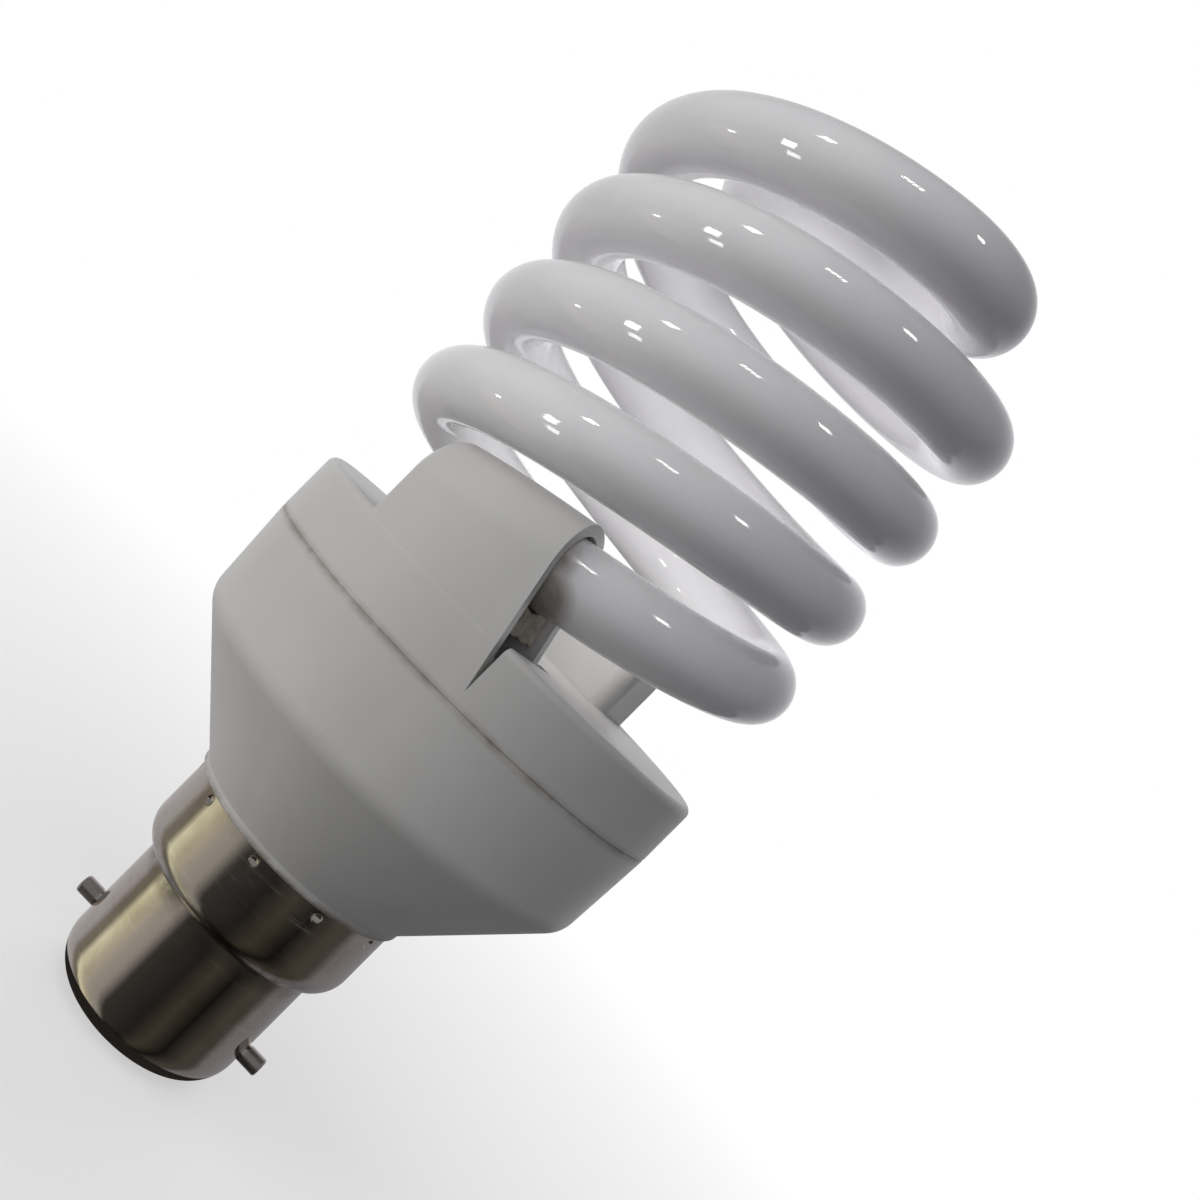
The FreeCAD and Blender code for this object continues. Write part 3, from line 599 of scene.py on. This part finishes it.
# %% The plainer finishes
plainer = {
    "black_insulator": ((0.01, 0.01, 0.01), (0.022, 0.021, 0.02), 240, 0.3, 0.5, 0.04, 0),
    "solder_contact": ((0.56, 0.55, 0.53), (0.38, 0.36, 0.33), 700, 0.28, 0.5, 0.12, 1),
    "tube_cement": ((0.47, 0.43, 0.37), (0.27, 0.235, 0.19), 640, 0.75, 0.95, 0.25, 0),
    "board_laminate": ((0.52, 0.4, 0.22), (0.42, 0.3, 0.15), 260, 0.45, 0.6, 0.05, 0),
    "capacitor_sleeve": ((0.03, 0.05, 0.11), (0.05, 0.07, 0.14), 180, 0.3, 0.45, 0.05, 0),
    "ferrite": ((0.06, 0.06, 0.065), (0.1, 0.1, 0.1), 900, 0.6, 0.85, 0.06, 0),
    "bobbin_plastic": ((0.08, 0.08, 0.08), (0.05, 0.05, 0.052), 300, 0.4, 0.55, 0.04, 0),
    "copper_wire": ((0.66, 0.3, 0.13), (0.48, 0.19, 0.07), 800, 0.25, 0.42, 0.1, 1),
    "black_moulding": ((0.03, 0.03, 0.03), (0.055, 0.055, 0.055), 500, 0.5, 0.7, 0.05, 0),
    "film_coating": ((0.42, 0.1, 0.05), (0.32, 0.07, 0.035), 330, 0.18, 0.32, 0.08, 0),
    "resistor_lacquer": ((0.5, 0.4, 0.26), (0.4, 0.3, 0.18), 600, 0.3, 0.5, 0.06, 0),
    "glass_diode": ((0.42, 0.2, 0.12), (0.3, 0.13, 0.08), 600, 0.1, 0.25, 0.04, 0),
    "tinned_wire": ((0.62, 0.61, 0.6), (0.46, 0.45, 0.43), 900, 0.25, 0.4, 0.05, 1),
    "lead_sleeve": ((0.55, 0.54, 0.5), (0.45, 0.43, 0.39), 400, 0.5, 0.65, 0.05, 0),
}
for slot, (first, second, scale, smooth, rough, depth, metal) in plainer.items():
    tree, shader = open_finish(slot)
    patches = effect(tree, "blotches", Scale=scale, Low=0.35, High=0.68)
    feed(tree, shader.inputs["Base Color"], between(tree, patches, (*first, 1), (*second, 1)))
    feed(tree, shader.inputs["Roughness"], span(tree, patches, 0.0, 1.0, smooth, rough))
    grain = effect(tree, "surface_grain", Scale=scale * 6, Wave=scale * 2)
    raised(tree, shader, grain, strength=0.6, depth=depth * MM)
    shader.inputs["Metallic"].default_value = metal
print("finishes:", len(finishes))

# %% [markdown]
# ## Dressing the pieces
# The record says which material slot each solid belongs to, so every solid takes the finish of its
# slot. The new pieces take theirs by name.

# %% Dress the pieces
for part in frame["record"]["subparts"]:
    for holder in frame["nodes"][part["node"]].material_slots:
        holder.material = finishes[part["material_slot"]]
new_pieces = {
    spiral_glass: "white_glass",
    seam_dirt: "housing_plastic",
    cement_front: "tube_cement",
    cement_back: "tube_cement",
}
for piece, slot in new_pieces.items():
    piece.data.materials.append(finishes[slot])

# %% [markdown]
# ## Floor
# The bulb stands on its contacts on a pale floor. A plain white plane would show a grey horizon and
# throw much light up under the housing. So the camera sees a floor that keeps the bulb's shadow near
# it and fades to white further out, while light that bounces meets a duller one.

# %% Helpers for the stage
def disc(name, radius, z):
    """A flat round piece of the stage, level, at this height on the axis."""
    mesh = bmesh.new()
    bmesh.ops.create_circle(mesh, cap_ends=True, segments=96, radius=radius)
    piece = piece_from(name, mesh)
    piece.location.z = z
    return piece


def open_stage_finish(name):
    """A new material without a shader: the material, its tree and the socket that takes a shader."""
    finish = bpy.data.materials.new(name)
    finish.use_nodes = True
    finish.node_tree.nodes.clear()
    return finish, finish.node_tree, add(finish.node_tree, "OutputMaterial").inputs["Surface"]


def either(tree, choice, first, second):
    """The first shader where the choice is 0, the second where it is 1."""
    made = add(tree, "MixShader", Fac=choice)
    tree.links.new(first.outputs[0], made.inputs[1])
    tree.links.new(second.outputs[0], made.inputs[2])
    return made


def only_in_reflections(piece):
    """Hides a piece of the stage from everything but mirroring surfaces."""
    piece.visible_camera = piece.visible_diffuse = False
    piece.visible_transmission = piece.visible_shadow = False


# %% Floor
FLOOR_Z = solid_low.z
FLOOR_RADIUS = 3.0
SHADOW_FADES_FROM = 0.03
SHADOW_FADES_TO = 0.22
floor = disc("pale_floor", FLOOR_RADIUS, FLOOR_Z)
floor_finish, tree, surface = open_stage_finish("pale_floor")
far = add(tree, "VectorMath", {"operation": "LENGTH"}, Vector=add(tree, "TexCoord").outputs["Object"])
fading = span(tree, far.outputs["Value"], SHADOW_FADES_FROM, SHADOW_FADES_TO, 0.55, 1.0)
kept_shadow = add(tree, "BsdfDiffuse", Color=(0.93, 0.93, 0.93, 1))
plain_white = add(tree, "Emission", Color=(1, 1, 1, 1), Strength=1.0)
dull = add(tree, "BsdfDiffuse", Color=(0.18, 0.18, 0.18, 1))
seen = either(tree, fading, kept_shadow, plain_white)
whole = either(tree, add(tree, "LightPath").outputs["Is Camera Ray"], dull, seen)
tree.links.new(whole.outputs[0], surface)
floor.data.materials.append(floor_finish)
floor.visible_glossy = floor.visible_shadow = False
print("floor at", round(FLOOR_Z / MM, 2), "mm")

# %% [markdown]
# ## What the plate mirrors
# The eye looks down on the cap, so its upright wall mirrors what lies low in front of it: in the
# photograph, a dark room with one tan strip on the left and paler edges. Photographers lay dark and
# pale cards round a shiny thing for this. Here a large round card lies far below, seen only by
# reflections, with its tones in sectors, and being far off it gives upright bands. The roundings of
# the cap mirror what is straight below, so the card's middle is dark, and so is a small disc under
# the cap.

# %% Card in sectors
CARD_RADIUS = 1.2
CARD_DROP = 0.3
DARK_MIDDLE = 0.08
OPEN_FROM = 0.17
card_tones = (
    (-180, (0.38, 0.37, 0.38)),
    (-166, (0.5, 0.48, 0.5)),
    (-116, (0.42, 0.4, 0.41)),
    (-105, (0.22, 0.2, 0.165)),
    (-95, (0.22, 0.2, 0.16)),
    (-86, (0.86, 0.84, 0.62)),
    (-72, (0.56, 0.52, 0.39)),
    (-58, (0.42, 0.39, 0.345)),
    (-42, (0.34, 0.315, 0.285)),
    (-29, (0.045, 0.041, 0.038)),
    (9, (0.02, 0.018, 0.017)),
    (30, (0.06, 0.05, 0.038)),
    (52, (0.008, 0.008, 0.008)),
    (78, (0.07, 0.06, 0.05)),
    (94, (0.075, 0.065, 0.058)),
    (106, (0.2, 0.19, 0.2)),
    (166, (0.26, 0.25, 0.27)),
    (180, (0.38, 0.37, 0.38)),
)
card = disc("reflection_card", CARD_RADIUS, FLOOR_Z - CARD_DROP)
card.rotation_euler.z = BODY_TURN - math.pi / 2
card_finish, tree, surface = open_stage_finish("reflection_card")
here = add(tree, "TexCoord").outputs["Object"]
sector = add(tree, "TexGradient", {"gradient_type": "RADIAL"}, Vector=here).outputs["Fac"]
tones = add(tree, "ValToRGB", Fac=sector)
stops = tones.color_ramp.elements
while len(stops) < len(card_tones):
    stops.new(0.5)
for stop, (degrees, tone) in zip(stops, card_tones):
    stop.position = 0.5 + degrees / 360
    stop.color = (*tone, 1)
out_from_cap = add(tree, "VectorMath", {"operation": "LENGTH"}, Vector=here).outputs["Value"]
# The card's dark middle is painted shade: the shaded ground straight below the bulb, as the cap's
# roundings mirror it.
open_part = span(tree, out_from_cap, DARK_MIDDLE, OPEN_FROM, 0.12, 1.0)
glow = add(tree, "Emission", Color=tones.outputs["Color"], Strength=open_part)
tree.links.new(glow.outputs[0], surface)
card.data.materials.append(card_finish)
only_in_reflections(card)
print("tones on the card:", len(stops))

# %% Painted shade under the cap, a disc seen only in reflections
# This disc is painted shade: a near-black sheet where the ground right under the bulb lies in its shadow.
DARK_DISC_RADIUS = 11.5 * MM
DARK_DISC_DROP = 0.1 * MM
contact_shade_disc = disc("contact_shade_disc", DARK_DISC_RADIUS, FLOOR_Z - DARK_DISC_DROP)
dark_finish, tree, surface = open_stage_finish("contact_shade_disc")
dim = add(tree, "Emission", Color=(0.02, 0.018, 0.017, 1), Strength=1.0)
tree.links.new(dim.outputs[0], surface)
contact_shade_disc.data.materials.append(dark_finish)
only_in_reflections(contact_shade_disc)
print("dark disc:", round(2 * DARK_DISC_RADIUS / MM, 1), "mm across")

# %% [markdown]
# ## Surroundings
# The page behind the bulb is white to the eye and to mirroring rays, though for those the room of the
# next step stands in front of it. For the light that falls on the bulb the world is much dimmer, so
# that the lamps can model its form.

# %% Surroundings
world = bpy.data.worlds.new("white_page")
world.use_nodes = True
tree = world.node_tree
tree.nodes.clear()
rays = add(tree, "LightPath").outputs
straight = maths(tree, "MAXIMUM", rays["Is Camera Ray"], rays["Is Glossy Ray"])
fill = add(tree, "Background", Color=(0.95, 0.94, 1.0, 1), Strength=0.2)
page = add(tree, "Background", Color=(1, 1, 1, 1), Strength=1.0)
around_bulb = either(tree, straight, fill, page)
tree.links.new(around_bulb.outputs[0], add(tree, "OutputWorld").inputs["Surface"])
bpy.context.scene.world = world
print("world:", world.name)

# %% [markdown]
# ## A grey room in the reflections
# The real bulb stood in a dim room, and its glass, pins and dimples mirror grey walls. Grey card all
# round the camera's side does this in a studio. Here it is a large ball that pales to white towards
# the page behind the bulb, so the rims still mirror the page. Only reflections see it.

# %% Grey room
ROOM_RADIUS = 1.5
PALES_FROM = 0.45 * ROOM_RADIUS
mesh = bmesh.new()
bmesh.ops.create_uvsphere(mesh, u_segments=48, v_segments=24, radius=ROOM_RADIUS)
grey_room = piece_from("grey_room", mesh)
grey_room.rotation_euler.z = BODY_TURN
room_finish, tree, surface = open_stage_finish("grey_room")
backwards = add(tree, "SeparateXYZ", Vector=add(tree, "TexCoord").outputs["Object"]).outputs["Y"]
paling = span(tree, backwards, PALES_FROM, ROOM_RADIUS, 0.26, 1.0)
wall = add(tree, "Emission", Color=(0.97, 0.965, 1.0, 1), Strength=paling)
tree.links.new(wall.outputs[0], surface)
grey_room.data.materials.append(room_finish)
only_in_reflections(grey_room)
print("faces of the room:", len(grey_room.data.polygons))

# %% [markdown]
# ## Lamps
# Four wide lamps model the form: one on the left, which is the strongest, and softer ones in front,
# above and behind. They are kept out of reflections. Each lamp is placed by its direction from the
# glass and by how wide and tall it looks from there, and its power follows from its brightness.

# %% Wide lamps
GLASS_MIDDLE = Vector((0, 0, 80 * MM))
WIDE_DISTANCE = 0.8


def lamp(name, azimuth, elevation, wide, tall, distance, brightness, tint=(1, 1, 1)):
    """A flat lamp that faces the glass. Its angles are in degrees, from the camera's side."""
    turn = math.radians(azimuth)
    lift = math.radians(elevation)
    level = to_right * math.sin(turn) - to_back * math.cos(turn)
    direction = level * math.cos(lift) + to_top * math.sin(lift)
    light = bpy.data.lights.new(name, "AREA")
    light.shape = "RECTANGLE"
    light.size = 2 * distance * math.tan(math.radians(wide / 2))
    light.size_y = 2 * distance * math.tan(math.radians(tall / 2))
    light.energy = brightness * math.pi * light.size * light.size_y
    light.color = tint
    placed = put_in_scene(name, light)
    placed.location = GLASS_MIDDLE + direction * distance
    placed.rotation_euler = direction.to_track_quat("Z", "Y").to_euler()
    placed.visible_camera = False
    return placed


# Each row: name, azimuth, elevation, width and height as angles, distance, brightness and tint.
wide_lamps = [
    lamp("wide_key", -66, 1, 40, 40, WIDE_DISTANCE, 3.95, (1.0, 0.99, 0.97)),
    lamp("wide_front", -18, -10, 40, 40, WIDE_DISTANCE, 1.0),
    lamp("wide_above", -2, 53, 36, 36, WIDE_DISTANCE, 1.4),
    lamp("wide_behind", 172, 12, 44, 44, WIDE_DISTANCE, 2.2),
]
for wide_lamp in wide_lamps:
    wide_lamp.visible_glossy = False
print("wide lamps:", len(wide_lamps))

# %% [markdown]
# ## Dashes on the glass
# The sharp white dashes on the glass are small bright lamps: three strips and a dot on the left, a
# row of four tubes in front and one patch on the right. The plate would mirror them too, so light
# linking lets only the glass see them, and they light nothing but its shine.

# %% Dashes on the glass
DASH_DISTANCE = 0.5
TUBES_FROM_DEG = -16
TUBE_STEP_DEG = 3.4
only_glass = bpy.data.collections.new("only_glass")
only_glass.objects.link(spiral_glass)
dashes = [
    lamp("left_strip_high", -47, 30, 6, 8, DASH_DISTANCE, 20),
    lamp("left_strip_middle", -49, -14, 6.4, 12, DASH_DISTANCE, 20),
    lamp("left_strip_low", -45, -32, 6, 8, DASH_DISTANCE, 12),
    lamp("left_dot", -78, -25, 3, 3, DASH_DISTANCE, 20),
    lamp("right_patch", 40, 47, 6, 7, DASH_DISTANCE, 18),
]
for i in range(4):
    side = TUBES_FROM_DEG + TUBE_STEP_DEG * i
    dashes.append(lamp("front_tube_%d" % (i + 1), side, 50, 1.4, 6, DASH_DISTANCE, 24))
for dash in dashes:
    dash.light_linking.receiver_collection = only_glass
    dash.visible_diffuse = False
print("dashes:", len(dashes))

# %% [markdown]
# ## Glow inside the coil
# Real powdered glass lets some light through, so the coil isn't dark inside. Making the glass see
# through would cost much time for little, so two faint lamps on the coil's own axis stand in for it.

# %% Glow inside the coil
GLOW_SOFTNESS = 8 * MM
glow_watts = {66: 0.0055, 90: 0.004}
for height, power in glow_watts.items():
    faint = bpy.data.lights.new("inner_glow_%d" % height, "POINT")
    faint.energy = power
    faint.shadow_soft_size = GLOW_SOFTNESS
    inside = put_in_scene(faint.name, faint)
    inside.location = leaning(to_top * height * MM)
    inside.visible_camera = inside.visible_glossy = False
